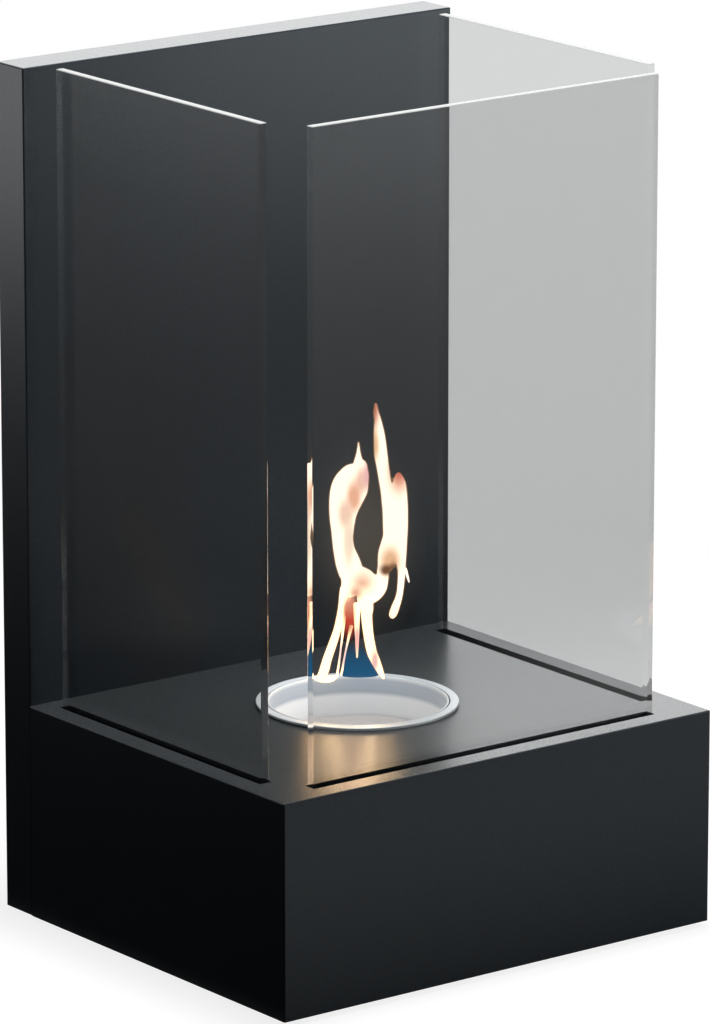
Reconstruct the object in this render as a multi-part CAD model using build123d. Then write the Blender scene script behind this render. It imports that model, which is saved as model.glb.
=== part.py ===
"""Free-standing bioethanol fireplace: a sheet-steel base box and back panel,
three loose glass panes and a round burner that lifts out.

Millimetres. X is to the right, -Y to the front, +Z up. The origin is on the floor,
under the centre of the whole fireplace.
"""
from build123d import *
import os

# Overall steelwork. The base box stands in front of the panel, and both start above the feet
width = 300.0
depth = 264.0
steel_height = 490.0
base_height = 124.0
panel_depth = 25.0
sheet = 1.5
edge_radius = 0.8

# Glass panes and the slots they stand in. Each gap is from a slot's end to the side or panel
glass_thickness = 5.0
glass_arris = 0.4
slot_side_clearance = 1.5
slot_end_clearance = 0.5
side_slot_rear_gap = 12.0
side_slot_front_gap = 38.0
front_slot_end_gap = 30.0

# Channels under the slots. Their outer flanges stand clear of the base's walls by these gaps, which
# sets the slots' places
channel_sheet = 1.2
channel_depth = 18.0
channel_flange = 8.0
channel_side_gap = 1.3
channel_front_gap = 2.3
channel_stud_end_gap = 22.0
pad_thickness = 2.0
pad_side_clearance = 0.2

# Burner. Its axis lies behind the middle of the space between front pane and panel
burner_back_shift = 1.0
ring_width = 3.8
ring_thickness = 1.6
ring_edge_radius = 0.6
cup_radius = 51.4
cup_wall = 1.2
cup_height = 86.0
cup_corner_radius = 4.0
sleeve_groove = 0.8
sleeve_wall = 1.0
sleeve_hole_clearance = 0.5
gasket_thickness = 0.8
gasket_edge_inset = 0.4
gasket_bore_clearance = 0.3
wool_below_rim = 22.0
wool_side_clearance = 0.2
wool_edge_radius = 2.0

# Bottom plate, and the base's inward flanges below and behind
plate_sheet = 1.2
plate_clearance = 0.5
bottom_flange = 20.0
rear_flange = 26.0

# Rear cover, sunk into the panel so that its screw heads stay inside, and its rails
cover_sheet = 1.2
cover_head_gap = 0.7
cover_clearance = 1.0
rail_sheet = 1.2
rail_width = 12.0
rail_end_gap = 1.0
cover_screw_end_gap = 60.0

# Feet, with a stem through the bottom plate and a barb above it
foot_height = 3.0
foot_radius = 9.0
foot_edge_radius = 0.8
foot_flange_gap = 5.0
foot_rear_gap = 10.0
foot_stem_radius = 3.0
foot_barb_radius = 4.2
foot_barb_height = 3.0

# Fasteners: studs carry the channels, screws hold the plate and cover, bolts hold the panel and burner
thread_fit = 0.05
hole_play = 0.25
stud_radius = 1.5
stud_length = 6.0
stud_nut_flats = 5.5
stud_nut_height = 2.4
screw_radius = 2.0
screw_head_radius = 3.8
screw_head_height = 1.8
screw_end = 2.0
screw_nut_flats = 7.0
screw_nut_height = 3.2
bolt_radius = 2.5
bolt_head_flats = 8.0
bolt_head_height = 3.5
bolt_nut_height = 4.0
bolt_end = 1.5
washer_radius = 5.0
washer_thickness = 1.0
drive_flats = 2.5
drive_depth = 1.2
panel_bolt_spread = 120.0
panel_bolt_low = 35.0
panel_bolt_top_gap = 28.0
spacer_radius = 6.0
weld_nut_height = 6.0
sleeve_screw_free_thread = 1.0

# Places worked out from the sizes above
half_width = width / 2
front_y = -depth / 2
back_y = depth / 2
panel_y = back_y - panel_depth
steel_z = foot_height
plate_top = steel_z + base_height
plate_under = plate_top - sheet
panel_top = steel_z + steel_height
floor_under = steel_z + sheet
floor_top = floor_under + plate_sheet

slot_width = glass_thickness + 2 * slot_side_clearance
side_slot_inset = sheet + channel_side_gap + channel_flange + channel_sheet
front_slot_inset = sheet + channel_front_gap + channel_flange + channel_sheet
side_slot_x = half_width - side_slot_inset - slot_width / 2
side_slot_front = front_y + side_slot_front_gap
side_slot_back = panel_y - side_slot_rear_gap
front_slot_y = front_y + front_slot_inset + slot_width / 2
front_slot_length = width - 2 * front_slot_end_gap
channel_floor = plate_under - channel_depth + channel_sheet
pane_bottom = channel_floor + pad_thickness

burner_y = (front_slot_y + slot_width / 2 + panel_y) / 2 + burner_back_shift
sleeve_bore = cup_radius + sleeve_groove
sleeve_radius = sleeve_bore + sleeve_wall
ring_radius = sleeve_radius + ring_width
plate_hole_radius = sleeve_radius + sleeve_hole_clearance
ring_under = plate_top + gasket_thickness
ring_top = ring_under + ring_thickness
cup_bottom = ring_top - cup_height
cup_bore = cup_radius - cup_wall
sleeve_bottom = cup_bottom - sleeve_wall
weld_nut_bottom = sleeve_bottom - weld_nut_height
wool_top = ring_top - wool_below_rim

cover_back = back_y - screw_head_height - cover_head_gap
cover_front = cover_back - cover_sheet
inner_half_width = half_width - sheet
inner_panel_top = panel_top - sheet
inner_panel_bottom = steel_z + sheet

# Cuts run past the faces they open by this much
over = 1.0


def block(x, y, z):
    """A box between two corners, each axis given as (low, high)."""
    size = (x[1] - x[0], y[1] - y[0], z[1] - z[0])
    centre = ((x[0] + x[1]) / 2, (y[0] + y[1]) / 2, (z[0] + z[1]) / 2)
    return Pos(*centre) * Box(*size)


def rod(radius, low, high, x=0.0, y=0.0):
    """An upright cylinder between two heights."""
    return Pos(x, y, (low + high) / 2) * Cylinder(radius, high - low)


def hexagon(flats, low, high):
    """An upright hexagonal prism of the given width across flats."""
    prism = extrude(RegularPolygon(flats / 2, 6, major_radius=False), high - low)
    return Pos(0, 0, low) * prism


def nut(flats, height, thread_radius):
    """A hexagonal nut that stands on z = 0."""
    return hexagon(flats, 0, height) - rod(thread_radius + thread_fit, -over, height + over)


def socket_screw(length):
    """A pan-head screw with a hexagonal drive, pointing down from a head that stands on z = 0."""
    head = rod(screw_head_radius, 0, screw_head_height)
    head = fillet(head.edges().group_by(Axis.Z)[-1], screw_head_height / 3)
    drive = hexagon(drive_flats, screw_head_height - drive_depth, screw_head_height + over)
    return head - drive + rod(screw_radius, -length, 0)


def hex_bolt(length):
    """A hexagon-head bolt, pointing down from a head that stands on z = 0."""
    return hexagon(bolt_head_flats, 0, bolt_head_height) + rod(bolt_radius, -length, 0)


def save(node, *solids):
    """Write one sub-part, as one solid or as a group of separate alike solids."""
    shape = solids[0] if len(solids) == 1 else Compound(children=list(solids))
    export_step(shape, f"parts/{node}.step")


# Places of the repeated fasteners
side_stud_ys = [side_slot_front + channel_stud_end_gap, side_slot_back - channel_stud_end_gap]
front_stud_x = front_slot_length / 2 - channel_stud_end_gap
stud_offset = slot_width / 2 + channel_sheet + channel_flange / 2
side_studs = [(side * side_slot_x + offset, y) for side in (-1, 1)
              for offset in (-stud_offset, stud_offset) for y in side_stud_ys]
front_studs = [(x, front_slot_y + offset) for x in (-front_stud_x, front_stud_x)
               for offset in (-stud_offset, stud_offset)]

side_bolt_x = inner_half_width - rear_flange / 2
top_bolt_z = plate_under - rear_flange / 2
panel_bolt_places = [(side * side_bolt_x, z) for side in (-1, 1)
                     for z in (steel_z + panel_bolt_low, plate_under - panel_bolt_top_gap)]
panel_bolt_places += [(side * panel_bolt_spread / 2, top_bolt_z) for side in (-1, 1)]

bottom_screw_x = inner_half_width - bottom_flange / 2
bottom_screw_front = front_y + sheet + bottom_flange / 2
bottom_screw_back = panel_y - rear_flange
bottom_screw_places = [(side * bottom_screw_x, y) for side in (-1, 1)
                       for y in (bottom_screw_front, bottom_screw_back)]
bottom_screw_places.append((0.0, bottom_screw_front))

cover_screw_x = inner_half_width - rail_width / 2
cover_screw_low = inner_panel_bottom + cover_screw_end_gap
cover_screw_high = inner_panel_top - cover_screw_end_gap
cover_screw_middle = (cover_screw_low + cover_screw_high) / 2
cover_screw_places = [(side * cover_screw_x, z) for side in (-1, 1)
                      for z in (cover_screw_low, cover_screw_middle, cover_screw_high)]
cover_screw_places.append((0.0, inner_panel_bottom + rail_width / 2))
cover_screw_places.append((0.0, inner_panel_top - rail_width / 2))

foot_inset = sheet + bottom_flange + foot_flange_gap + foot_radius
foot_back = panel_y - foot_rear_gap - foot_radius
foot_places = [(side * (half_width - foot_inset), y) for side in (-1, 1)
               for y in (front_y + foot_inset, foot_back)]


def side_slot(side, low, high, grow=0.0, end_grow=0.0):
    """The upright prism over one side slot, grown outwards on its sides and ends."""
    half = slot_width / 2 + grow
    centre = side * side_slot_x
    return block((centre - half, centre + half),
                 (side_slot_front - end_grow, side_slot_back + end_grow), (low, high))


def front_slot(low, high, grow=0.0, end_grow=0.0):
    """The upright prism over the front slot, grown outwards on its sides and ends."""
    half = slot_width / 2 + grow
    reach = front_slot_length / 2 + end_grow
    return block((-reach, reach), (front_slot_y - half, front_slot_y + half), (low, high))


def make_base_shell():
    """Welded box of folded sheet: top, front and sides, with inward flanges below and behind."""
    shell = block((-half_width, half_width), (front_y, panel_y), (steel_z, plate_top))
    rims = shell.edges().filter_by(lambda edge: edge.center().Y < panel_y - sheet)
    rims = rims.filter_by(lambda edge: edge.center().Z > steel_z + sheet)
    shell = fillet(rims, edge_radius)
    shell -= block((-inner_half_width, inner_half_width), (front_y + sheet, panel_y + over),
                   (steel_z - over, plate_under))

    flange = block((-inner_half_width, inner_half_width), (front_y + sheet, panel_y), (steel_z, floor_under))
    window = inner_half_width - bottom_flange
    flange -= block((-window, window), (front_y + sheet + bottom_flange, panel_y + over),
                    (steel_z - over, floor_under + over))
    for x, y in bottom_screw_places:
        flange -= rod(screw_radius + hole_play, steel_z - over, floor_under + over, x, y)
    shell += flange

    flange = block((-inner_half_width, inner_half_width), (panel_y - sheet, panel_y),
                   (floor_under, plate_under))
    window = inner_half_width - rear_flange
    flange -= block((-window, window), (panel_y - sheet - over, panel_y + over),
                    (steel_z, plate_under - rear_flange))
    shell += flange
    shell -= panel_bolt_holes()

    for x, y in side_studs + front_studs:
        shell += rod(stud_radius, plate_under - stud_length, plate_under, x, y)
    for side in (-1, 1):
        shell -= side_slot(side, plate_under - over, plate_top + over)
    shell -= front_slot(plate_under - over, plate_top + over)
    shell -= rod(plate_hole_radius, plate_under - over, plate_top + over, 0, burner_y)
    return shell


def panel_bolt_holes():
    """Clearance holes for the bolts through the base's rear flanges and the panel's face."""
    reach = (panel_y - sheet - over, panel_y + sheet + over)
    length = reach[1] - reach[0]
    middle = (reach[0] + reach[1]) / 2
    hole = Rot(90, 0, 0) * Cylinder(bolt_radius + hole_play, length)
    return [Pos(x, middle, z) * hole for x, z in panel_bolt_places]


def make_bottom_plate():
    """Flat plate that lies on the base's bottom flanges."""
    reach = inner_half_width - plate_clearance
    plate = block((-reach, reach), (front_y + sheet + plate_clearance, panel_y - sheet - plate_clearance),
                  (floor_under, floor_top))
    for x, y in bottom_screw_places:
        plate -= rod(screw_radius + hole_play, floor_under - over, floor_top + over, x, y)
    for x, y in foot_places:
        plate -= rod(foot_stem_radius + thread_fit, floor_under - over, floor_top + over, x, y)
    plate -= rod(bolt_radius + hole_play, floor_under - over, floor_top + over, 0, burner_y)
    return plate


def make_panel_shell():
    """Tray of folded sheet, open at the back, whose face carries the base."""
    tray = block((-half_width, half_width), (panel_y, back_y), (steel_z, panel_top))
    tray = fillet(tray.edges().filter_by(lambda edge: edge.center().Y < back_y - sheet), edge_radius)
    tray -= block((-inner_half_width, inner_half_width), (panel_y + sheet, back_y + over),
                  (inner_panel_bottom, inner_panel_top))
    return tray - panel_bolt_holes()


def make_rear_cover():
    """Flat cover set into the back of the panel."""
    reach = inner_half_width - cover_clearance
    cover = block((-reach, reach), (cover_front, cover_back),
                  (inner_panel_bottom + cover_clearance, inner_panel_top - cover_clearance))
    return cover - cover_screw_holes(screw_radius + hole_play)


def cover_screw_holes(radius):
    """Holes through the rear cover and its rails."""
    length = cover_sheet + rail_sheet + 2 * over
    middle = (cover_back + cover_front - rail_sheet) / 2
    hole = Rot(90, 0, 0) * Cylinder(radius, length)
    return [Pos(x, middle, z) * hole for x, z in cover_screw_places]


def make_side_rail(side):
    """Angle strip welded inside one side of the panel, which the cover is screwed to."""
    wall = side * inner_half_width
    span = (inner_panel_bottom, inner_panel_top)
    leg = block(sorted((wall, wall - side * rail_sheet)), (cover_front - rail_width, cover_front), span)
    face = block(sorted((wall, wall - side * rail_width)), (cover_front - rail_sheet, cover_front), span)
    return leg + face - cover_screw_holes(screw_radius + thread_fit)


def make_cross_rail(wall, inward):
    """Angle strip along the panel's top or bottom wall, between the two side rails."""
    reach = inner_half_width - rail_width - rail_end_gap
    span = (-reach, reach)
    leg = block(span, (cover_front - rail_width, cover_front), sorted((wall, wall + inward * rail_sheet)))
    face = block(span, (cover_front - rail_sheet, cover_front), sorted((wall, wall + inward * rail_width)))
    return leg + face - cover_screw_holes(screw_radius + thread_fit)


def make_channel(outline, studs):
    """Folded U channel with outward flanges and closed ends, under one slot.

    outline(low, high, grow, end_grow) gives the slot's prism, and studs are the weld studs
    that pass through the flanges.
    """
    bottom = plate_under - channel_depth
    channel = outline(bottom, plate_under, channel_sheet, channel_sheet)
    channel += outline(plate_under - channel_sheet, plate_under, channel_sheet + channel_flange,
                       channel_sheet)
    channel -= outline(channel_floor, plate_under + over, 0, 0)
    for x, y in studs:
        channel -= rod(stud_radius + hole_play, bottom - over, plate_under + over, x, y)
    return channel


def make_pad(outline):
    """Silicone strip on the channel's floor, which the pane stands on."""
    return outline(channel_floor, pane_bottom, -pad_side_clearance, -pad_side_clearance)


def make_pane(outline):
    """Tempered glass pane with ground edges."""
    pane = outline(pane_bottom, panel_top, -slot_side_clearance, -slot_end_clearance)
    return chamfer(pane.edges(), glass_arris)


def make_burner_sleeve():
    """Outer can of the burner, hung by its ring, with a closed nut welded underneath."""
    sleeve = rod(sleeve_radius, sleeve_bottom, ring_top) + rod(ring_radius, ring_under, ring_top)
    sleeve = fillet(sleeve.edges().group_by(Axis.Z)[-1], ring_edge_radius)
    sleeve -= rod(sleeve_bore, cup_bottom, ring_top + over)
    sleeve += hexagon(bolt_head_flats, weld_nut_bottom, sleeve_bottom)
    sleeve -= rod(bolt_radius + thread_fit, weld_nut_bottom - over, sleeve_bottom)
    return Pos(0, burner_y, 0) * sleeve


def make_sleeve_gasket():
    """Dark flat ring between the burner's ring and the plate."""
    gasket = rod(ring_radius - gasket_edge_inset, plate_top, ring_under)
    gasket -= rod(sleeve_radius + gasket_bore_clearance, plate_top - over, ring_under + over)
    return Pos(0, burner_y, 0) * gasket


def make_sleeve_spacer():
    """Tube between the bottom plate and the sleeve's nut."""
    tube = rod(spacer_radius, floor_top, weld_nut_bottom)
    tube -= rod(bolt_radius + hole_play, floor_top - over, weld_nut_bottom + over)
    return Pos(0, burner_y, 0) * tube


def make_sleeve_screw():
    """Bolt from below, through the bottom plate and the spacer, into the sleeve's nut."""
    length = sleeve_bottom - sleeve_screw_free_thread - floor_under
    return Pos(0, burner_y, floor_under) * Rot(180, 0, 0) * hex_bolt(length)


def make_burner_cup():
    """Drawn steel fuel cup that lifts out of the sleeve."""
    outside = rod(cup_radius, cup_bottom, ring_top)
    outside = fillet(outside.edges().group_by(Axis.Z)[0], cup_corner_radius)
    inside = rod(cup_bore, cup_bottom + cup_wall, ring_top + over)
    inside = fillet(inside.edges().group_by(Axis.Z)[0], cup_corner_radius - cup_wall)
    cup = outside - inside
    cup = fillet(cup.edges().group_by(Axis.Z)[-1], cup_wall / 3)
    return Pos(0, burner_y, 0) * cup


def make_wool_disc():
    """Ceramic wool that fills the cup and soaks up the fuel."""
    wool = rod(cup_bore - wool_side_clearance, cup_bottom + cup_wall, wool_top)
    wool = fillet(wool.edges().group_by(Axis.Z)[0], cup_corner_radius - cup_wall)
    wool = fillet(wool.edges().group_by(Axis.Z)[-1], wool_edge_radius)
    return Pos(0, burner_y, 0) * wool


def make_feet():
    """Rubber feet pushed through the bottom plate, each held by its barb."""
    foot = rod(foot_radius, 0, floor_under)
    foot = fillet(foot.edges().group_by(Axis.Z)[0], foot_edge_radius)
    foot += rod(foot_stem_radius, floor_under, floor_top)
    foot += Pos(0, 0, floor_top + foot_barb_height / 2) * Cone(foot_barb_radius, foot_stem_radius / 2,
                                                               foot_barb_height)
    return [Pos(x, y, 0) * foot for x, y in foot_places]


def make_panel_fasteners():
    """Bolts from inside the base into the back panel, with their washers and nuts."""
    length = 2 * sheet + washer_thickness + bolt_nut_height + bolt_end
    bolt = Rot(90, 0, 0) * hex_bolt(length)
    washer = rod(washer_radius, 0, washer_thickness)
    washer -= rod(bolt_radius + hole_play, -over, washer_thickness + over)
    washer = Rot(-90, 0, 0) * washer
    hex_nut = Rot(-90, 0, 0) * nut(bolt_head_flats, bolt_nut_height, bolt_radius)
    bolts = [Pos(x, panel_y - sheet, z) * bolt for x, z in panel_bolt_places]
    washers = [Pos(x, panel_y + sheet, z) * washer for x, z in panel_bolt_places]
    nuts = [Pos(x, panel_y + sheet + washer_thickness, z) * hex_nut for x, z in panel_bolt_places]
    return bolts, washers, nuts


def make_bottom_fasteners():
    """Screws from below through flange and plate, with the nuts inside the base."""
    length = sheet + plate_sheet + screw_nut_height
    screw = Rot(180, 0, 0) * socket_screw(length)
    hex_nut = nut(screw_nut_flats, screw_nut_height, screw_radius)
    screws = [Pos(x, y, steel_z) * screw for x, y in bottom_screw_places]
    nuts = [Pos(x, y, floor_top) * hex_nut for x, y in bottom_screw_places]
    return screws, nuts


def make_cover_screws():
    """Screws that hold the rear cover on its rails, their heads below the panel's back edge."""
    screw = Rot(-90, 0, 0) * socket_screw(cover_sheet + rail_sheet + screw_end)
    return [Pos(x, cover_back, z) * screw for x, z in cover_screw_places]


def make_channel_nuts():
    """Nuts on the weld studs, under the channels' flanges."""
    hex_nut = nut(stud_nut_flats, stud_nut_height, stud_radius)
    height = plate_under - channel_sheet - stud_nut_height
    return [Pos(x, y, height) * hex_nut for x, y in side_studs + front_studs]


os.makedirs("parts", exist_ok=True)

save("base_shell", make_base_shell())
save("bottom_plate", make_bottom_plate())
save("panel_shell", make_panel_shell())
save("rear_cover", make_rear_cover())
save("cover_rail_left", make_side_rail(-1))
save("cover_rail_right", make_side_rail(1))
save("cover_rail_top", make_cross_rail(inner_panel_top, -1))
save("cover_rail_bottom", make_cross_rail(inner_panel_bottom, 1))
save("rear_cover_screws", *make_cover_screws())

half = len(side_studs) // 2
slots = {
    "left": (lambda *sizes: side_slot(-1, *sizes), side_studs[:half]),
    "right": (lambda *sizes: side_slot(1, *sizes), side_studs[half:]),
    "front": (front_slot, front_studs),
}
for name, (outline, studs) in slots.items():
    save(f"channel_{name}", make_channel(outline, studs))
    save(f"pad_{name}", make_pad(outline))
    save(f"glass_{name}", make_pane(outline))
save("channel_nuts", *make_channel_nuts())

panel_bolts, panel_washers, panel_nuts = make_panel_fasteners()
save("panel_bolts", *panel_bolts)
save("panel_washers", *panel_washers)
save("panel_nuts", *panel_nuts)
bottom_screws, bottom_nuts = make_bottom_fasteners()
save("bottom_screws", *bottom_screws)
save("bottom_nuts", *bottom_nuts)

save("burner_sleeve", make_burner_sleeve())
save("sleeve_gasket", make_sleeve_gasket())
save("sleeve_spacer", make_sleeve_spacer())
save("sleeve_screw", make_sleeve_screw())
save("burner_cup", make_burner_cup())
save("wool_disc", make_wool_disc())
save("feet", *make_feet())

print(f"a pane is free of its slot when lifted by {plate_top - pane_bottom:.1f} mm")
print(f"the cup is free of the burner when lifted by {cup_height:.1f} mm")
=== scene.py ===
import math

import bmesh
import bpy
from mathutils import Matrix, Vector, noise


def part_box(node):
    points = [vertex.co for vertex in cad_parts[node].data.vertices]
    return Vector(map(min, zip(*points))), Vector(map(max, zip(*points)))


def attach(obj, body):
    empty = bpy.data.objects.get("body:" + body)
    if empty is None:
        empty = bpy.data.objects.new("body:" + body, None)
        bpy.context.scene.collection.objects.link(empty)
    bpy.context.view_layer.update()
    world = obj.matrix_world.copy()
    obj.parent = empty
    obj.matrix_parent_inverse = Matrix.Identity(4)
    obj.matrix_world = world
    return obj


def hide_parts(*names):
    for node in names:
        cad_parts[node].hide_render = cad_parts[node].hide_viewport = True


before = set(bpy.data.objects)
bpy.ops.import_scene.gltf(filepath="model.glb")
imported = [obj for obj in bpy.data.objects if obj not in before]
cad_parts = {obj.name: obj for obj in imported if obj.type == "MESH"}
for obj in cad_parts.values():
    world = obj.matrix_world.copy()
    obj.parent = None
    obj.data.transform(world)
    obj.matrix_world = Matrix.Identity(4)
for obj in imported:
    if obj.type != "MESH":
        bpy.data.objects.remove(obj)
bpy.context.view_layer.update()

mm = 0.001


def new_object(name, data):
    made = bpy.data.objects.new(name, data)
    bpy.context.scene.collection.objects.link(made)
    return made


# ---------------------------------------------------------------- camera
# The photograph looks down on the left and front sides from far away.
view_azimuth = math.radians(-37.371)
view_elevation = math.radians(14.621)
view_distance = 4.0982
view_target = Vector((-0.00108, 0.0, 0.23887))
lens_mm = 256.896
sensor_mm = 36.0

view_right = Vector((math.cos(view_azimuth), math.sin(view_azimuth), 0.0))
view_away = Vector((-math.sin(view_azimuth), math.cos(view_azimuth), 0.0))


def make_camera():
    camera = new_object("camera", bpy.data.cameras.new("camera"))
    camera.data.sensor_fit = "VERTICAL"
    camera.data.sensor_height = sensor_mm
    camera.data.lens = lens_mm
    back = -view_away * math.cos(view_elevation) + Vector((0.0, 0.0, math.sin(view_elevation)))
    camera.location = view_target + back * view_distance
    camera.rotation_euler = (math.pi / 2 - view_elevation, 0.0, view_azimuth)
    bpy.context.scene.camera = camera


# ---------------------------------------------------------------- shader nodes
# Detail and roughness of a noise.
smooth_noise = (2.0, 0.5)
lively_noise = (3.0, 0.6)
fibrous_noise = (5.0, 0.7)


def new_material(name):
    material = bpy.data.materials.new(name)
    material.use_nodes = True
    material.node_tree.nodes.clear()
    return material, material.node_tree


def put(tree, socket, value):
    """Gives an input a plain value, a colour of three numbers or another node's output."""
    if isinstance(value, bpy.types.NodeSocket):
        tree.links.new(value, socket)
    elif socket.type == "RGBA":
        socket.default_value = (*value, 1.0)
    else:
        socket.default_value = value


def node(tree, kind, sockets=None, **settings):
    """Adds a shader node. sockets names its inputs and what put gives to each."""
    made = tree.nodes.new("ShaderNode" + kind)
    for name, value in settings.items():
        setattr(made, name, value)
    for name, value in (sockets or {}).items():
        put(tree, made.inputs[name], value)
    return made


def finish_material(tree, shader):
    node(tree, "OutputMaterial", {"Surface": shader.outputs[0]})


def mix_shaders(tree, share, first, second):
    return node(tree, "MixShader", {0: share, 1: first.outputs[0], 2: second.outputs[0]})


def math_of(tree, operation, first, second):
    return node(tree, "Math", {0: first, 1: second}, operation=operation).outputs[0]


def vector_of(tree, operation, first, second):
    return node(tree, "VectorMath", {0: first, 1: second}, operation=operation).outputs[0]


def dot_of(tree, first, second):
    return node(tree, "VectorMath", {0: first, 1: second},
                operation="DOT_PRODUCT").outputs["Value"]


def length_of(tree, vector):
    return node(tree, "VectorMath", {0: vector}, operation="LENGTH").outputs["Value"]


def parts_of(tree, vector):
    """A vector's three numbers, one output each."""
    return node(tree, "SeparateXYZ", {0: vector}).outputs


def place_of(tree):
    """Where a surface point lies in the object's own frame, in metres."""
    return node(tree, "TexCoord").outputs["Object"]


def true_normal_of(tree):
    return node(tree, "NewGeometry").outputs["True Normal"]


def noise_of(tree, place, scale, kind, distortion=0.0):
    detail, roughness = kind
    return node(tree, "TexNoise", {"Vector": place, "Scale": scale, "Detail": detail,
                                   "Roughness": roughness,
                                   "Distortion": distortion}).outputs["Fac"]


def spread(tree, value, low, high, start=0.3, end=0.7):
    """Maps start..end to low..high. The defaults suit a noise value."""
    return node(tree, "MapRange", {"Value": value, "From Min": start, "From Max": end,
                                   "To Min": low, "To Max": high}).outputs[0]


def blend_colours(tree, share, first, second):
    mix = node(tree, "Mix", {0: share, 6: first, 7: second}, data_type="RGBA")
    return mix.outputs[2]


def blend_numbers(tree, share, first, second):
    mix = node(tree, "Mix", {0: share, 2: first, 3: second}, data_type="FLOAT")
    return mix.outputs[0]


def bump_of(tree, height, distance, strength):
    return node(tree, "Bump", {"Height": height, "Distance": distance,
                               "Strength": strength}).outputs[0]


def any_of(tree, *values):
    share = values[0]
    for value in values[1:]:
        share = math_of(tree, "MAXIMUM", share, value)
    return share


def seen_rays(tree):
    """1 for the rays that show what they meet: straight, in gloss or through glass."""
    rays = node(tree, "LightPath").outputs
    return any_of(tree, rays["Is Camera Ray"], rays["Is Glossy Ray"], rays["Is Transmission Ray"])


def profile(tree, value, stops):
    """Joins (value, share) stops, given in rising order, by straight lines."""
    low, high = stops[0][0], stops[-1][0]
    ramp = node(tree, "ValToRGB", {0: spread(tree, value, 0.0, 1.0, low, high)})
    elements = ramp.color_ramp.elements
    elements.remove(elements[0])
    elements[0].position = 1.0
    for stop, _ in stops[:-1]:
        elements.new((stop - low) / (high - low))
    for element, (_, share) in zip(elements, stops):
        element.color = (share, share, share, 1.0)
    return ramp.outputs["Color"]


# ---------------------------------------------------------------- stage
white = (1.0, 1.0, 1.0)
card_black = (0.005, 0.005, 0.005)

# The floor: half its side, then how it glows, takes shadow and lights the object. Its shadow
# fades out between the two distances from the object.
floor_half = 7.0
floor_glow = 0.84
floor_shade = 0.30
floor_bounce = 0.15
floor_fade = (0.45, 0.9)

# The world is white to the rays that show it, and this bright to all others.
ambient = 0.05

# The card on the floor: how black it is along x to the left, and along y before the front.
card_reach = 2.2
card_height = 0.001
card_left = ((-2.15, 0.0), (-1.52, 0.72), (-0.95, 0.88), (-0.66, 0.93), (-0.45, 1.0),
             (-0.16, 1.0), (-0.10, 0.0))
card_front = ((-2.05, 0.0), (-1.50, 0.35), (-1.00, 0.60), (-0.90, 0.75), (-0.80, 0.95),
              (-0.68, 0.95), (-0.55, 0.0), (-0.42, 0.0), (-0.135, 0.7))
card_front_end = -0.13

# The flags: where each stands on the floor from end to end, and their lower and upper edges.
left_flag = ((-2.1, -2.0), (-2.1, 3.5))
front_flag = ((-1.0, -2.4), (3.9, -2.4))
flag_low = 0.02
flag_high = 1.7


def make_sheet(name, corners):
    """A rectangle with a material of its own, for the stage."""
    mesh = bpy.data.meshes.new(name)
    mesh.from_pydata(corners, [], [(0, 1, 2, 3)])
    material, tree = new_material(name)
    mesh.materials.append(material)
    return new_object(name, mesh), material, tree


def level_square(half, height):
    return [(-half, -half, height), (half, -half, height), (half, half, height),
            (-half, half, height)]


def make_floor():
    """A pale floor that reads as white where it is lit and keeps the object's soft shadow."""
    floor, material, tree = make_sheet("floor", level_square(floor_half, 0.0))
    distance = length_of(tree, place_of(tree))
    far = spread(tree, distance, 0.0, 1.0, *floor_fade)
    bounce = node(tree, "BsdfDiffuse", {"Color": (floor_bounce,) * 3})
    shade = node(tree, "BsdfDiffuse", {
        "Color": blend_colours(tree, far, (floor_shade,) * 3, (0.0,) * 3)})
    glow = node(tree, "Emission", {
        "Color": white, "Strength": spread(tree, distance, floor_glow, 1.0, *floor_fade)})
    lit = node(tree, "AddShader", {0: shade.outputs[0], 1: glow.outputs[0]})
    finish_material(tree, mix_shaders(tree, seen_rays(tree), bounce, lit))
    material.cycles.emission_sampling = "NONE"


def make_ground_shade():
    """A dark card on the floor that only reflections see: painted shade of the floor round the
    object, as in a product studio.

    On the left it is black beside the object and fades out far away. Before the front it is
    dark close to the object and again further out, and clear in between."""
    card, _, tree = make_sheet("ground_shade", level_square(card_reach, card_height))
    x, y, _ = parts_of(tree, place_of(tree))
    left = profile(tree, x, card_left)
    front = profile(tree, y, card_front)
    before = math_of(tree, "LESS_THAN", y, card_front_end)
    front = math_of(tree, "MULTIPLY", front, before)
    clear = node(tree, "BsdfTransparent")
    black = node(tree, "BsdfDiffuse", {"Color": card_black})
    finish_material(tree, mix_shaders(tree, any_of(tree, left, front), clear, black))
    card.visible_camera = False
    card.visible_transmission = False
    card.visible_shadow = False


def make_flag(name, ends):
    """A black screen beyond the lamps that only reflections see, so that dark sides stay dark."""
    start, end = ends
    flag, _, tree = make_sheet(name, [(*start, flag_low), (*end, flag_low), (*end, flag_high),
                                      (*start, flag_high)])
    finish_material(tree, node(tree, "BsdfDiffuse", {"Color": card_black}))
    for seen_by in ("visible_camera", "visible_diffuse", "visible_transmission", "visible_shadow"):
        setattr(flag, seen_by, False)


def make_world():
    world = bpy.data.worlds.new("world")
    world.use_nodes = True
    tree = world.node_tree
    tree.nodes.clear()
    dim = node(tree, "Background", {"Color": (ambient,) * 3, "Strength": 1.0})
    bright = node(tree, "Background", {"Color": white, "Strength": 1.0})
    mix = mix_shaders(tree, seen_rays(tree), dim, bright)
    node(tree, "OutputWorld", {"Surface": mix.outputs[0]})
    world.cycles.sampling_method = "NONE"
    bpy.context.scene.world = world


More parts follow.
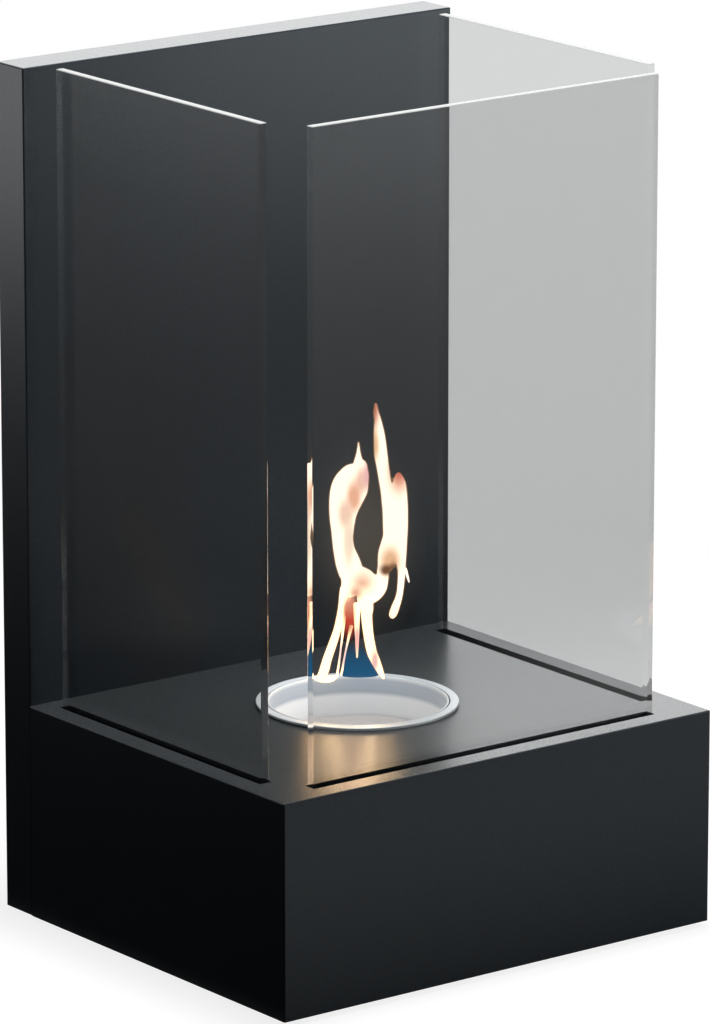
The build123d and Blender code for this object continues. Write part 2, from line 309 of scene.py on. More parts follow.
# ---------------------------------------------------------------- lights
# Where each lamp stands and where it looks, its width and height, and its radiance.
softboxes = {
    "back_right_low": ((0.85, 1.15, 0.42), (0.0, 0.0, 0.25), 1.2, 0.4, 2.75),
    "back_right_high": ((0.85, 1.28, 0.90), (0.0, 0.0, 0.25), 1.3, 0.45, 2.85),
    "front_right": ((0.80, -0.75, 0.355), (0.1, 0.1, 0.45), 0.50, 0.36, 4.6),
    "left_back": ((-1.20, 1.50, 0.16), (-0.15, 0.12, 0.45), 0.6, 0.25, 4.6),
}
overhead = ((0.05, -0.06, 1.15), (0.0, 0.0, 0.12), 0.5, 0.3, 22.0)

# A warm lamp behind the foot of the flame, which the plate before the burner mirrors.
foot_place = (-5.0, 160.0)
foot_gap_mm = 8
foot_size = 50 * mm
foot_radiance = 2.8
foot_tint = (1.0, 0.60, 0.26)

# The light of the flame itself, which falls into the cup.
flame_light_place = (0.0, 160.0)
flame_light_radius = 12 * mm
flame_light_power = 0.09
flame_light_tint = (0.93, 0.97, 1.0)


def aim(made, place, target):
    """Turns a lamp or a softbox to its target and hides it from view."""
    made.location = place
    made.rotation_euler = (Vector(target) - Vector(place)).to_track_quat("-Z", "Y").to_euler()
    made.visible_camera = False
    made.visible_transmission = False


def softbox(name, place, target, width, height, radiance):
    """A glowing rectangle that satin gloss shows, but no direct look and no pane."""
    x, y = width / 2, height / 2
    corners = [(-x, -y, 0.0), (-x, y, 0.0), (x, y, 0.0), (x, -y, 0.0)]
    made, material, tree = make_sheet(name, corners)
    hidden = any_of(tree, node(tree, "NewGeometry").outputs["Backfacing"],
                    node(tree, "LightPath").outputs["Is Singular Ray"])
    glow = node(tree, "Emission", {"Color": white, "Strength": radiance})
    finish_material(tree, mix_shaders(tree, hidden, glow, node(tree, "BsdfTransparent")))
    material.cycles.emission_sampling = "NONE"
    made.visible_shadow = False
    aim(made, place, target)


def area_lamp(name, place, target, width, height, radiance, tint=white):
    lamp = bpy.data.lights.new(name, "AREA")
    lamp.shape = "RECTANGLE"
    lamp.size = width
    lamp.size_y = height
    lamp.energy = radiance * math.pi * width * height
    lamp.color = tint
    aim(new_object(name, lamp), place, target)


def make_flame_light():
    """Lights the cup. What mirrors in the steel comes from the flame's own pieces."""
    lamp = bpy.data.lights.new("flame_light", "POINT")
    lamp.shadow_soft_size = flame_light_radius
    lamp.energy = flame_light_power
    lamp.color = flame_light_tint
    made = new_object("flame_light", lamp)
    made.location = flame_point(*flame_light_place)
    made.visible_camera = False
    made.visible_glossy = False
    made.visible_transmission = False


def make_lights():
    for name, settings in softboxes.items():
        softbox(name, *settings)
    foot = flame_point(*foot_place) + view_away * foot_gap_mm * mm
    area_lamp("flame_foot", foot, foot - view_away, foot_size, foot_size, foot_radiance, foot_tint)
    area_lamp("overhead", *overhead)
    make_flame_light()


# ---------------------------------------------------------------- finishes
# Powder coat. Between the two slopes, from steep to level, faces go from clean to painted lighter:
# a painted top light.
coat_tones = ((0.0120, 0.0165, 0.0215), (0.0150, 0.0200, 0.0255))
top_light_tones = ((0.039, 0.044, 0.047), (0.045, 0.050, 0.053))
top_light_slopes = (0.7, 0.95)
coat_peel_scale = 2600.0
coat_cloud_scale = 16.0
coat_roughness = (0.26, 0.30)
coat_bump = (0.00001, 0.01)
coat_specular = 0.28
coat_specular_tint = (0.86, 0.95, 1.0)

# Burner steel. The darker, bluer band below the rim, and the rim, start and end at these heights,
# in metres.
steel_wall = (0.91, 0.94, 0.96)
steel_upper_band = (0.42, 0.48, 0.55)
steel_rim = (0.68, 0.73, 0.76)
steel_rings = (0.62, 0.66, 0.70)
upper_band_heights = (0.1175, 0.1200)
rim_heights = (0.1270, 0.1285)
steel_ring_share = 0.25
steel_ring_scale = 2600.0
steel_ring_bump = (0.00002, 0.6)
steel_smear_scale = 45.0
steel_roughness = (0.32, 0.42)
steel_smear = (-0.03, 0.05)

# Glass. Its sheen is a coat that mirrors more than the glass itself. Faces whose normals point
# up by more than the slope are ground and painted pale: a painted highlight on the top edge.
glass_tint = (0.715, 0.72, 0.722)
ground_edge_highlight = (0.35, 0.36, 0.355)
glass_edge_roughness = 0.25
ground_highlight_slope = 0.5
glass_passing = (0.97, 0.97, 0.97)
glass_ior = 1.065
sheen_ior = 1.30

# Plain finishes: two tones, metallic, lowest and highest roughness, grain's scale and bump's
# height. The mottling is coarser than the grain.
mottle_ratio = 12
plain_specular = 0.5
plain_bump_strength = 0.5
plain_finishes = {
    "zinc_steel": ((0.52, 0.52, 0.53), (0.64, 0.63, 0.60), 1.0, 0.30, 0.48, 700.0, 0.00003),
    "black_screws": ((0.020, 0.020, 0.022), (0.035, 0.035, 0.037), 0.0, 0.30, 0.45, 1500.0,
                     0.00003),
    "silicone": ((0.040, 0.040, 0.041), (0.055, 0.055, 0.056), 0.0, 0.45, 0.60, 500.0, 0.00004),
    "graphite_seal": ((0.030, 0.030, 0.032), (0.050, 0.050, 0.052), 0.0, 0.50, 0.70, 900.0,
                      0.00005),
    "foot_rubber": ((0.016, 0.016, 0.016), (0.026, 0.026, 0.025), 0.0, 0.70, 0.85, 1100.0,
                    0.00005),
}

# Ceramic wool: dark and pale strands, and clumps.
wool_tones = ((0.28, 0.27, 0.265), (0.43, 0.41, 0.40))
wool_clumps = (0.38, 0.35, 0.33)
wool_clump_share = 0.35
wool_clump_scale = 70.0
wool_strand_scale = 420.0
wool_strand_distortion = 1.6
wool_bump = (0.0005, 0.9)


def powder_coat():
    """Satin black powder coat: a fine orange-peel skin, uneven gloss and painted light on
    up-facing faces.
    """
    material, tree = new_material("powder_coat")
    place = place_of(tree)
    peel = noise_of(tree, place, coat_peel_scale, smooth_noise)
    cloud = noise_of(tree, place, coat_cloud_scale, lively_noise)
    # Painted light: up-facing faces get a lighter coat colour, as if lit from above.
    top_light = spread(tree, parts_of(tree, true_normal_of(tree))[2], 0.0, 1.0, *top_light_slopes)
    clean, top_lit = (blend_colours(tree, cloud, *tones) for tones in (coat_tones, top_light_tones))
    shader = node(tree, "BsdfPrincipled", {
        "Base Color": blend_colours(tree, top_light, clean, top_lit),
        "Roughness": spread(tree, peel, *coat_roughness),
        "Specular IOR Level": coat_specular,
        "Specular Tint": coat_specular_tint,
        "Normal": bump_of(tree, peel, *coat_bump),
    })
    finish_material(tree, shader)
    return material


def spun_steel():
    """Stainless steel turned on a lathe: fine rings round the burner's axis, a darker, bluer band
    below the rim.
    """
    material, tree = new_material("spun_steel")
    low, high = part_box("burner_cup")
    axis = (low + high) / 2
    centred = vector_of(tree, "SUBTRACT", place_of(tree), (axis.x, axis.y, 0.0))
    x, y, height = parts_of(tree, centred)
    radius = length_of(tree, node(tree, "CombineXYZ", {0: x, 1: y}).outputs[0])
    rings_place = node(tree, "CombineXYZ", {0: radius, 1: height}).outputs[0]
    rings = noise_of(tree, rings_place, steel_ring_scale, lively_noise)
    smear = noise_of(tree, centred, steel_smear_scale, smooth_noise)
    upper_band = spread(tree, height, 0.0, 1.0, *upper_band_heights)
    rim = spread(tree, height, 0.0, 1.0, *rim_heights)
    tint = blend_colours(tree, upper_band, steel_wall, steel_upper_band)
    tint = blend_colours(tree, rim, tint, steel_rim)
    share = spread(tree, rings, 0.0, steel_ring_share)
    shader = node(tree, "BsdfPrincipled", {
        "Base Color": blend_colours(tree, share, tint, steel_rings),
        "Metallic": 0.2,
        "Roughness": math_of(tree, "ADD", spread(tree, rings, *steel_roughness),
                             spread(tree, smear, *steel_smear)),
        "Normal": bump_of(tree, rings, *steel_ring_bump),
    })
    finish_material(tree, shader)
    return material


def clear_glass():
    """Clear pane with a ground top edge painted pale as a highlight.

    Light on its way to or from other pieces passes straight on."""
    material, tree = new_material("clear_glass")
    rays = node(tree, "LightPath").outputs
    passing = any_of(tree, rays["Is Shadow Ray"], rays["Is Diffuse Ray"],
                     rays["Is Reflection Ray"])
    # Painted highlight: up-facing edge faces get a pale, opaque colour.
    ground_highlight = math_of(tree, "GREATER_THAN", parts_of(tree, true_normal_of(tree))[2],
                   ground_highlight_slope)
    glass = node(tree, "BsdfPrincipled", {
        "Base Color": blend_colours(tree, ground_highlight, glass_tint, ground_edge_highlight),
        "Roughness": spread(tree, ground_highlight, 0.0, glass_edge_roughness, 0.0, 1.0),
        "IOR": glass_ior,
        "Transmission Weight": spread(tree, ground_highlight, 1.0, 0.0, 0.0, 1.0),
        "Coat Weight": 1.0,
        "Coat Roughness": 0.0,
        "Coat IOR": sheen_ior,
    })
    clear = node(tree, "BsdfTransparent", {"Color": glass_passing})
    finish_material(tree, mix_shaders(tree, passing, glass, clear))
    return material


def plain_finish(name, first, second, metallic, rough_low, rough_high, grain, bump):
    """A finish with two mottled tones, uneven gloss and a fine bump."""
    material, tree = new_material(name)
    place = place_of(tree)
    fine = noise_of(tree, place, grain, lively_noise)
    broad = noise_of(tree, place, grain / mottle_ratio, smooth_noise)
    shader = node(tree, "BsdfPrincipled", {
        "Base Color": blend_colours(tree, spread(tree, broad, 0.0, 1.0), first, second),
        "Metallic": metallic,
        "Roughness": spread(tree, fine, rough_low, rough_high),
        "Specular IOR Level": plain_specular,
        "Normal": bump_of(tree, fine, bump, plain_bump_strength),
    })
    finish_material(tree, shader)
    return material


def ceramic_wool():
    """Off-white mineral fibre, with a felted surface of crossing strands."""
    material, tree = new_material("ceramic_wool")
    place = place_of(tree)
    strands = noise_of(tree, place, wool_strand_scale, fibrous_noise, wool_strand_distortion)
    clumps = noise_of(tree, place, wool_clump_scale, lively_noise)
    felt = blend_colours(tree, spread(tree, strands, 0.0, 1.0), *wool_tones)
    share = spread(tree, clumps, 0.0, wool_clump_share)
    shader = node(tree, "BsdfPrincipled", {
        "Base Color": blend_colours(tree, share, felt, wool_clumps),
        "Roughness": 0.95,
        "Specular IOR Level": 0.2,
        "Normal": bump_of(tree, strands, *wool_bump),
    })
    finish_material(tree, shader)
    return material


def finish_nodes():
    """Gives every node of the frame its finish, by the slot that the record names for it."""
    finishes = {"black_coat": powder_coat(), "burner_steel": spun_steel(),
                "clear_glass": clear_glass()}
    for name, settings in plain_finishes.items():
        finishes[name] = plain_finish(name, *settings)
    finishes["ceramic_wool"] = ceramic_wool()
    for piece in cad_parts.values():
        for slot in piece.material_slots:
            slot.material = finishes[slot.material.name.split(".")[0]]
    return finishes


# ---------------------------------------------------------------- wool
wool_side_gap = 0.2 * mm
wool_circles = 36
wool_sides = 144
wool_round_edge = 2.0 * mm
wool_hills = 0.8 * mm
# Broad and fine lumps: their level in the noise, their scale and their share of a hill.
wool_lumps = ((0.0, 90, 0.6), (0.2, 330, 0.25))


def add_piece(name, shape, finish):
    mesh = bpy.data.meshes.new(name)
    shape.to_mesh(mesh)
    shape.free()
    for face in mesh.polygons:
        face.use_smooth = True
    mesh.materials.append(finish)
    return new_object(name, mesh)


def make_wool(finish):
    """The felt that fills the cup from its bottom, uneven on top and rounded at its rim."""
    low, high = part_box("wool_disc")
    centre = (low + high) / 2
    outer = (high.x - low.x) / 2 - wool_side_gap
    shape = bmesh.new()
    rings = []
    for circle in range(1, wool_circles + 1):
        radius = outer * math.sin(math.pi / 2 * circle / wool_circles)
        drop = max(0.0, radius - (outer - wool_round_edge))
        fall = wool_round_edge - math.sqrt(max(0.0, wool_round_edge**2 - drop**2))
        ring = []
        for side in range(wool_sides):
            turn = 2 * math.pi * side / wool_sides
            x = centre.x + radius * math.cos(turn)
            y = centre.y + radius * math.sin(turn)
            lump = sum(noise.noise(Vector((x, y, level)) * scale) * share
                       for level, scale, share in wool_lumps)
            ring.append(shape.verts.new((x, y, high.z - wool_hills - fall + wool_hills * lump)))
        rings.append(ring)
    rings.append([shape.verts.new((vert.co.x, vert.co.y, low.z)) for vert in rings[-1]])
    for inner, outer_ring in zip(rings, rings[1:]):
        for side in range(wool_sides):
            after = (side + 1) % wool_sides
            shape.faces.new((inner[side], outer_ring[side], outer_ring[after], inner[after]))
    shape.faces.new(rings[0])
    shape.faces.new(reversed(rings[-1]))
    bmesh.ops.recalc_face_normals(shape, faces=shape.faces)
    wool = add_piece("wool", shape, finish)
    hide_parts("wool_disc")
    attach(wool, "burner")


# ---------------------------------------------------------------- the flame's outline
# The flame's outline lies in an upright plane through the burner's axis that faces the
# photograph's camera. Each tongue is a list of stations from one end to the other: how far
# across that plane, how high above the ground and how wide to each side, in millimetres.
left_tongue = [(0.3, 279.8, 0.3), (0.2, 277.7, 0.5), (0.2, 275.4, 0.8), (0.2, 272.5, 1.3),
               (0.2, 268.9, 2.4), (0.6, 266.8, 4.0), (0.4, 265.1, 5.1), (-0.5, 262.7, 7.0),
               (-2.0, 259.6, 8.5), (-3.4, 256.5, 9.6), (-4.6, 253.4, 10.1), (-5.9, 249.8, 9.9),
               (-7.1, 245.6, 9.2), (-8.0, 241.5, 8.3), (-8.6, 237.3, 7.5), (-8.8, 233.2, 6.9),
               (-8.8, 228.0, 6.2), (-8.7, 222.8, 5.8), (-7.8, 216.6, 6.0), (-6.0, 210.4, 6.8),
               (-4.4, 205.2, 6.9), (-3.6, 200.5, 6.2), (-4.5, 195.5, 5.0), (-5.6, 190.5, 4.1)]
right_tongue = [(9.8, 302.0, 0.4), (10.0, 298.4, 1.0), (10.3, 295.3, 1.5), (11.0, 292.2, 1.8),
                (11.5, 287.0, 2.6), (12.0, 281.9, 3.1), (12.4, 276.7, 3.4), (12.8, 271.5, 3.6),
                (13.6, 266.3, 3.4), (14.4, 261.1, 3.3), (15.2, 256.0, 3.3), (16.4, 250.8, 3.7),
                (17.4, 245.6, 4.2), (17.9, 240.4, 4.2), (18.1, 235.3, 4.2), (18.3, 230.1, 4.3),
                (18.3, 224.9, 4.3), (17.5, 219.7, 4.9), (16.8, 215.6, 5.3), (16.2, 211.5, 5.2),
                (15.1, 207.8, 4.3), (13.5, 204.2, 2.9), (12.7, 200.5, 2.1)]
side_tongue = [(22.6, 262.0, 0.4), (22.7, 259.6, 2.1), (22.9, 256.0, 3.5), (23.3, 250.8, 3.9),
               (23.5, 245.6, 4.1), (23.6, 240.4, 4.2), (23.6, 230.1, 4.2), (23.5, 219.7, 3.8),
               (23.7, 213.5, 3.3), (24.0, 209.4, 2.7), (24.4, 204.2, 2.1), (23.9, 195.5, 1.8),
               (23.0, 188.7, 1.8), (21.0, 181.8, 2.2), (19.6, 177.1, 2.1), (19.2, 174.9, 1.2)]
saddle = [(0.0, 202.1, 5.5), (3.8, 200.5, 5.3), (7.6, 198.3, 4.5), (11.6, 198.6, 3.8),
          (15.1, 200.8, 2.0), (16.8, 203.4, 0.6)]
spike = [(26.2, 206.3, 1.0), (27.0, 204.2, 0.8), (28.0, 200.5, 0.6), (28.6, 198.0, 0.3)]
lobe = [(16.8, 203.2, 0.5), (15.1, 199.6, 2.0), (12.3, 195.9, 4.5), (8.4, 192.7, 6.2),
        (3.9, 190.8, 6.7), (-0.6, 190.2, 6.2)]
right_leg = [(4.5, 187.6, 3.9), (4.9, 181.0, 3.6), (4.8, 175.7, 3.1), (5.8, 163.3, 2.8),
             (7.6, 151.1, 2.8), (9.8, 143.7, 2.6), (12.3, 136.2, 1.9), (14.6, 129.6, 0.8)]
left_leg = [(-6.2, 194.0, 3.9), (-7.3, 188.9, 3.4), (-9.0, 180.4, 2.4), (-11.5, 167.5, 2.1),
            (-14.0, 157.6, 2.3), (-17.4, 145.2, 2.5), (-19.3, 136.2, 2.7), (-21.3, 129.8, 2.4)]
middle_spike = [(-0.6, 183.7, 2.2), (-0.8, 173.7, 1.6), (-0.6, 161.9, 1.2), (-0.6, 152.6, 0.8),
                (-0.6, 146.0, 0.4)]
first_strand = [(-7.9, 175.7, 1.2), (-8.7, 164.7, 0.7), (-9.8, 152.6, 0.5), (-10.9, 141.5, 0.6),
                (-12.1, 131.6, 0.6)]
second_strand = [(-3.9, 168.9, 1.1), (-5.9, 157.6, 0.6), (-7.9, 145.2, 0.5), (-9.5, 132.4, 0.7)]
ember_veil = [(-2.6, 191.0, 6.5), (-4.4, 184.0, 6.0), (-5.2, 175.7, 5.0), (-5.8, 166.8, 4.2),
              (-6.7, 158.0, 3.0), (-7.3, 150.0, 1.6)]
root_lick = [(-25.0, 130.6, 0.7), (-22.7, 129.4, 1.6), (-19.3, 129.0, 2.0), (-15.5, 129.3, 1.8),
             (-12.6, 131.0, 1.0), (-11.9, 132.6, 0.5)]
blue_veil = [(-3.9, 159.0, 0.8), (-2.2, 152.6, 4.5), (-0.8, 145.2, 6.7), (0.6, 137.7, 9.0),
             (1.1, 130.0, 11.0)]

body_tongues = (left_tongue, right_tongue, side_tongue, saddle, lobe, right_leg, left_leg)
thin_tongues = (spike, middle_spike, first_strand, second_strand, root_lick)

# The legs lean back from the axis by up to lean_reach, between the two heights.
lean_foot = 129.0
lean_top = 205.0
lean_reach = 44.0
lean_power = 1.6

# The sides of a tongue's section, and the steps of its path between two stations.
tongue_sides = 20
tongue_steps = 6

# Depth as a share of width.
tongue_depth = 0.85
ember_depth = 0.5
blue_depth = 0.35

# In millimetres: the least width to each side, the height where the blue foot is cut off, and
# how far the skin stands off the core.
least_width = 0.35
blue_foot = 132.0
skin_gap = 0.6

# Voxel size and rounds of smoothing, where tongues are fused.
core_fusing = (0.5 * mm, 3)
skin_fusing = (0.6 * mm, 4)
smoothing = 0.5

# A painted glow round the flame, an emitting lens: its middle, and how far it reaches across, up
# and in depth.
painted_glow_across = 4.0
painted_glow_height = 222.0
painted_glow_width = 37.0
painted_glow_tall = 68.0
painted_glow_depth = 4.0


def lean_of(height):
    """The legs lean back to the far rim of the cup; above them the flame stands over its axis."""
    rise = max(0.0, lean_top - height) / (lean_top - lean_foot)
    return lean_reach * min(rise, 1.0) ** lean_power


def axis_of(node_name):
    """Where an upright round node's axis meets the ground."""
    low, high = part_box(node_name)
    return Vector(((low.x + high.x) / 2, (low.y + high.y) / 2, 0.0))


flame_origin = axis_of("burner_cup")


def flame_point(across, height):
    reach = view_right * across + view_away * lean_of(height) + Vector((0, 0, height))
    return flame_origin + reach * mm


def smooth_path(stations):
    """Stations joined by a Catmull-Rom curve, in all three numbers of each."""
    points = [Vector(station) for station in stations]
    ends = [points[0] * 2 - points[1], *points, points[-1] * 2 - points[-2]]
    path = []
    for before, start, end, after in zip(ends, ends[1:], ends[2:], ends[3:]):
        for step in range(tongue_steps):
            t = step / tongue_steps
            path.append(0.5 * (2 * start + (end - before) * t
                               + (2 * before - 5 * start + 4 * end - after) * t**2
                               + (3 * start - before - 3 * end + after) * t**3))
    path.append(points[-1])
    return path


def add_tongue(shape, stations, widen=0.0, depth=tongue_depth):
    """A closed tube of oval section along the stations' curve."""
    path = smooth_path(stations)
    centres = [flame_point(place.x, place.y) for place in path]
    turns = [2 * math.pi * turn / tongue_sides for turn in range(tongue_sides)]
    rings = []
    for number, centre in enumerate(centres):
        ahead = centres[min(number + 1, len(centres) - 1)]
        behind = centres[max(number - 1, 0)]
        along = (ahead - behind).normalized()
        width = max(path[number].z, least_width) + widen
        side = along.cross(view_away).normalized() * width * mm
        deep = side.cross(along).normalized() * width * depth * mm
        rings.append([shape.verts.new(centre + side * math.cos(turn) + deep * math.sin(turn))
                      for turn in turns])
    for ring, following in zip(rings, rings[1:]):
        for number in range(tongue_sides):
            after = (number + 1) % tongue_sides
            shape.faces.new((ring[number], following[number], following[after], ring[after]))
    shape.faces.new(reversed(rings[0]))
    shape.faces.new(rings[-1])


def tongues(lists, **settings):
    """One shape of several tongues, which may overlap."""
    shape = bmesh.new()
    for stations in lists:
        add_tongue(shape, stations, **settings)
    return shape


def melted(name, shape, finish, voxel, rounds):
    """Fuses overlapping tongues into one smooth skin."""
    bmesh.ops.recalc_face_normals(shape, faces=shape.faces)
    rough = add_piece(name + "_rough", shape, finish)
    remesh = rough.modifiers.new("fuse", "REMESH")
    remesh.mode = "VOXEL"
    remesh.voxel_size = voxel
    relax = rough.modifiers.new("relax", "SMOOTH")
    relax.factor = smoothing
    relax.iterations = rounds
    graph = bpy.context.evaluated_depsgraph_get()
    mesh = bpy.data.meshes.new_from_object(rough.evaluated_get(graph))
    bpy.data.objects.remove(rough)
    mesh.name = name
    mesh.materials.clear()
    mesh.materials.append(finish)
    for face in mesh.polygons:
        face.use_smooth = True
    return new_object(name, mesh)


def blue_shape():
    """The blue foot of the flame, cut off level above the rim of the cup."""
    shape = tongues([blue_veil], depth=blue_depth)
    lowest = Vector((0.0, 0.0, blue_foot * mm))
    bmesh.ops.bisect_plane(shape, geom=shape.verts[:] + shape.edges[:] + shape.faces[:],
                           plane_co=lowest, plane_no=(0.0, 0.0, -1.0), clear_outer=True)
    bmesh.ops.holes_fill(shape, edges=shape.edges[:])
    return shape


def painted_glow_shape():
    """A faint painted glow round the flame, an emitting lens."""
    shape = bmesh.new()
    bmesh.ops.create_uvsphere(shape, u_segments=64, v_segments=32, radius=1.0)
    centre = flame_point(painted_glow_across, painted_glow_height)
    for vert in shape.verts:
        place = vert.co * mm
        vert.co = centre + view_right * place.x * painted_glow_width + view_away * place.y * painted_glow_depth
        vert.co.z += place.z * painted_glow_tall
    return shape


# ---------------------------------------------------------------- the flame's looks
# Brightness of the legs and of the tongues: seen directly, through a pane, and in satin steel.
# The last falls to the back share where the surface turns from the photograph's side to the
# back panel's.
legs_end = 180.0
tongues_start = 205.0
legs_colour = (1.0, 0.67, 0.365)
tongue_colour = (1.0, 0.82, 0.65)
flame_seen = (2.9, 1.65)
flame_seen_through_glass = (4.0, 2.3)
flame_in_gloss = (12.0, 4.0)
flame_back_share = 0.03
flame_back_turn = (-0.5, 0.0)

# Ovals in the flame's plane: the middle across and up, half the width and half the height. A
# patch of the core then has its colour as it shows on a screen. The last two numbers are the
# strength at the middle and the share of the oval that keeps it. Later patches cover earlier
# ones.
core_patches = (
    (2.4, 258.5, 6.0, 11.0, (246, 198, 182), 0.95, 0.25),
    (-2.4, 249.5, 6.0, 14.0, (236, 170, 140), 0.95, 0.25),
    (-7.0, 239.5, 6.0, 13.0, (248, 208, 186), 0.95, 0.25),
    (-5.2, 223.0, 4.5, 20.0, (253, 232, 206), 0.9, 0.25),
    (6.0, 262.0, 4.0, 12.0, (244, 184, 190), 1.0, 0.25),
    (8.0, 301.0, 6.0, 22.0, (186, 98, 80), 1.0, 0.25),
    (9.0, 278.0, 4.0, 14.0, (238, 196, 150), 1.0, 0.25),
    (22.8, 262.0, 9.0, 17.0, (240, 176, 150), 0.95, 0.25),
    (22.6, 265.0, 7.0, 11.0, (206, 86, 74), 1.0, 0.25),
    (18.0, 211.0, 8.0, 13.0, (232, 180, 136), 0.95, 0.25),
    (16.0, 206.0, 6.0, 5.5, (70, 36, 22), 1.0, 0.25),
    (19.6, 204.5, 3.6, 9.0, (92, 48, 28), 1.0, 0.25),
    (2.4, 198.5, 10.0, 10.0, (238, 184, 154), 0.9, 0.0),
    (-1.5, 192.0, 6.0, 7.0, (220, 150, 128), 0.9, 0.0),
    (-6.0, 181.0, 3.5, 12.0, (240, 160, 132), 0.95, 0.25),
    (9.5, 144.0, 3.2, 12.0, (240, 186, 190), 0.95, 0.25),
    (-0.6, 160.0, 3.0, 16.0, (244, 170, 172), 0.9, 0.25),
    (-8.0, 148.0, 6.0, 16.0, (244, 196, 208), 0.85, 0.25),
)
ember_oval = (-4.9, 177.0, 5.2, 24.0, 0.9, 0.2)
painted_glow_oval = (painted_glow_across, painted_glow_height, painted_glow_width, painted_glow_tall, 0.035, 0.05)

# Veils: their colours on a screen and their strength. The ember turns from dark to red between
# its first two heights, and from red to peach between its last two.
skin_tint = (255, 190, 130)
skin_opacity = (0.10, 0.16)
skin_heights = (140.0, 240.0)
ember_dark, ember_red, ember_peach = (96, 30, 26), (206, 72, 50), (244, 168, 136)
ember_reddening = (158.0, 172.0)
ember_paling = (174.0, 188.0)
ember_strength = 1.3
blue_tint = (24, 90, 130)
blue_opacity = (0.9, 0.0)
blue_heights = (135.0, 157.0)
blue_wisp_scale = 160.0
blue_wisps = (0.9, 1.1)
blue_strength = 1.15
painted_glow_tint = (255, 226, 190)


def shown(red, green, blue):
    """A colour given as it shows on a screen, 0 to 255, in the linear values of shaders."""
    def linear(value):
        share = value / 255
        return share / 12.92 if share <= 0.04045 else ((share + 0.055) / 1.055) ** 2.4
    return linear(red), linear(green), linear(blue)


def flame_plane(tree):
    """Across and height in millimetres of a point of the flame, as the stations give them."""
    place = vector_of(tree, "SUBTRACT", place_of(tree), flame_origin)
    across = dot_of(tree, place, view_right / mm)
    height = dot_of(tree, place, (0.0, 0.0, 1 / mm))
    return node(tree, "CombineXYZ", {0: across, 1: height}).outputs[0]


def height_of(tree, plane):
    return parts_of(tree, plane)[1]


def oval(tree, plane, across, height, width, tall, peak, plateau):
    """Falls softly from its peak at the middle of an upright oval to nothing at its rim."""
    moved = vector_of(tree, "SUBTRACT", plane, (across, height, 0.0))
    scaled = vector_of(tree, "MULTIPLY", moved, (1 / width, 1 / tall, 0.0))
    return node(tree, "MapRange", {"Value": length_of(tree, scaled), "From Min": plateau,
                                   "From Max": 1.0, "To Min": peak, "To Max": 0.0},
                interpolation_type="SMOOTHSTEP").outputs[0]


def seen_strength_at(height):
    share = min(max((height - legs_end) / (tongues_start - legs_end), 0.0), 1.0)
    return flame_seen[0] + (flame_seen[1] - flame_seen[0]) * share


def patch(tree, plane, colour, across, height, width, tall, tint, peak, plateau):
    """Lays a soft oval patch over the core's colour, so that its tint shows as given."""
    true_tint = [value / seen_strength_at(height) for value in shown(*tint)]
    share = oval(tree, plane, across, height, width, tall, peak, plateau)
    return blend_colours(tree, share, colour, true_tint)


def flame_strength(tree, height):
    """The burning gas is orange but too bright to show it: only satin steel mirrors its tint."""
    rays = node(tree, "LightPath").outputs
    direct, mirrored, through = (
        spread(tree, height, *pair, legs_end, tongues_start)
        for pair in (flame_seen, flame_in_gloss, flame_seen_through_glass))
    backwards = dot_of(tree, true_normal_of(tree), view_away)
    facing = spread(tree, backwards, 1.0, flame_back_share, *flame_back_turn)
    mirrored = math_of(tree, "MULTIPLY", mirrored, facing)
    direct = blend_numbers(tree, rays["Is Glossy Ray"], direct, mirrored)
    return blend_numbers(tree, rays["Is Transmission Ray"], direct, through)


def flame_core_finish():
    material, tree = new_material("flame_core")
    plane = flame_plane(tree)
    height = height_of(tree, plane)
    rise = spread(tree, height, 0.0, 1.0, legs_end, tongues_start)
    colour = blend_colours(tree, rise, legs_colour, tongue_colour)
    for settings in core_patches:
        colour = patch(tree, plane, colour, *settings)
    glow = node(tree, "Emission", {"Color": colour, "Strength": flame_strength(tree, height)})
    finish_material(tree, glow)
    material.cycles.emission_sampling = "NONE"
    return material


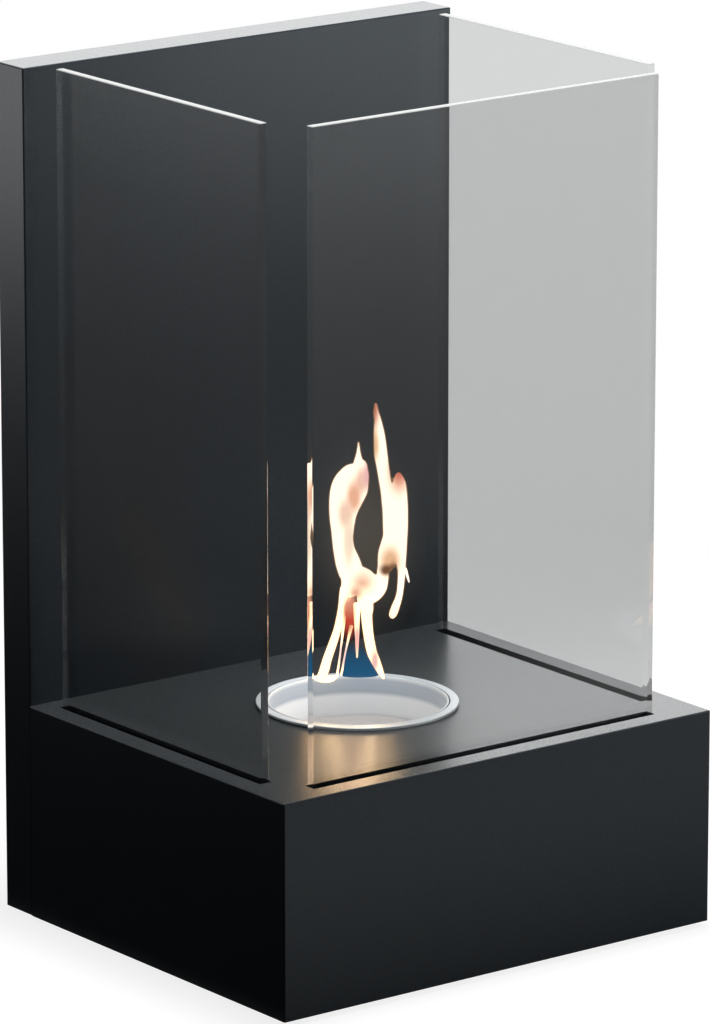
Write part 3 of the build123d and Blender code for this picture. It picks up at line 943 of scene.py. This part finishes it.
def veil_finish(name, tint, density_of, strength=1.0):
    """A thin coloured gas that shows what is behind it.

    tint is a colour on a screen, or gives one for each point of the flame's plane, as
    density_of gives its opacity."""
    material, tree = new_material(name)
    colour = tint(tree, flame_plane(tree)) if callable(tint) else shown(*tint)
    shader = node(tree, "BsdfPrincipled", {
        "Base Color": (0.0, 0.0, 0.0),
        "Specular IOR Level": 0.0,
        "Roughness": 1.0,
        "Emission Color": colour,
        "Emission Strength": strength,
        "Alpha": density_of(tree, flame_plane(tree)),
    })
    finish_material(tree, shader)
    material.cycles.emission_sampling = "NONE"
    return material


def skin_density(tree, plane):
    return spread(tree, height_of(tree, plane), *skin_opacity, *skin_heights)


def ember_tint(tree, plane):
    height = height_of(tree, plane)
    reddening = spread(tree, height, 0.0, 1.0, *ember_reddening)
    colour = blend_colours(tree, reddening, shown(*ember_dark), shown(*ember_red))
    paling = spread(tree, height, 0.0, 1.0, *ember_paling)
    return blend_colours(tree, paling, colour, shown(*ember_peach))


def ember_density(tree, plane):
    return oval(tree, plane, *ember_oval)


def blue_density(tree, plane):
    wisps = noise_of(tree, place_of(tree), blue_wisp_scale, lively_noise)
    rise = spread(tree, height_of(tree, plane), *blue_opacity, *blue_heights)
    return math_of(tree, "MULTIPLY", rise, spread(tree, wisps, *blue_wisps))


def painted_glow_density(tree, plane):
    return oval(tree, plane, *painted_glow_oval)


def make_flame():
    core_finish = flame_core_finish()
    pieces = [
        melted("flame_core", tongues(body_tongues), core_finish, *core_fusing),
        add_piece("flame_strands", tongues(thin_tongues), core_finish),
        melted("flame_skin", tongues(body_tongues, widen=skin_gap),
               veil_finish("flame_skin", skin_tint, skin_density), *skin_fusing),
        add_piece("flame_ember", tongues([ember_veil], depth=ember_depth),
                  veil_finish("flame_ember", ember_tint, ember_density, ember_strength)),
        add_piece("flame_blue", blue_shape(),
                  veil_finish("flame_blue", blue_tint, blue_density, blue_strength)),
        # Painted glow: a faint emitting lens round the flame, standing in for a halo of light.
        add_piece("flame_painted_glow", painted_glow_shape(), veil_finish("flame_painted_glow", painted_glow_tint, painted_glow_density)),
    ]
    for piece in pieces:
        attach(piece, "burner")
        piece.visible_shadow = False


# ---------------------------------------------------------------- the picture
bpy.context.scene.view_settings.view_transform = "Standard"
make_camera()
make_floor()
make_ground_shade()
make_flag("left_flag", left_flag)
make_flag("front_flag", front_flag)
make_world()
make_lights()
finishes = finish_nodes()
make_wool(finishes["ceramic_wool"])
make_flame()
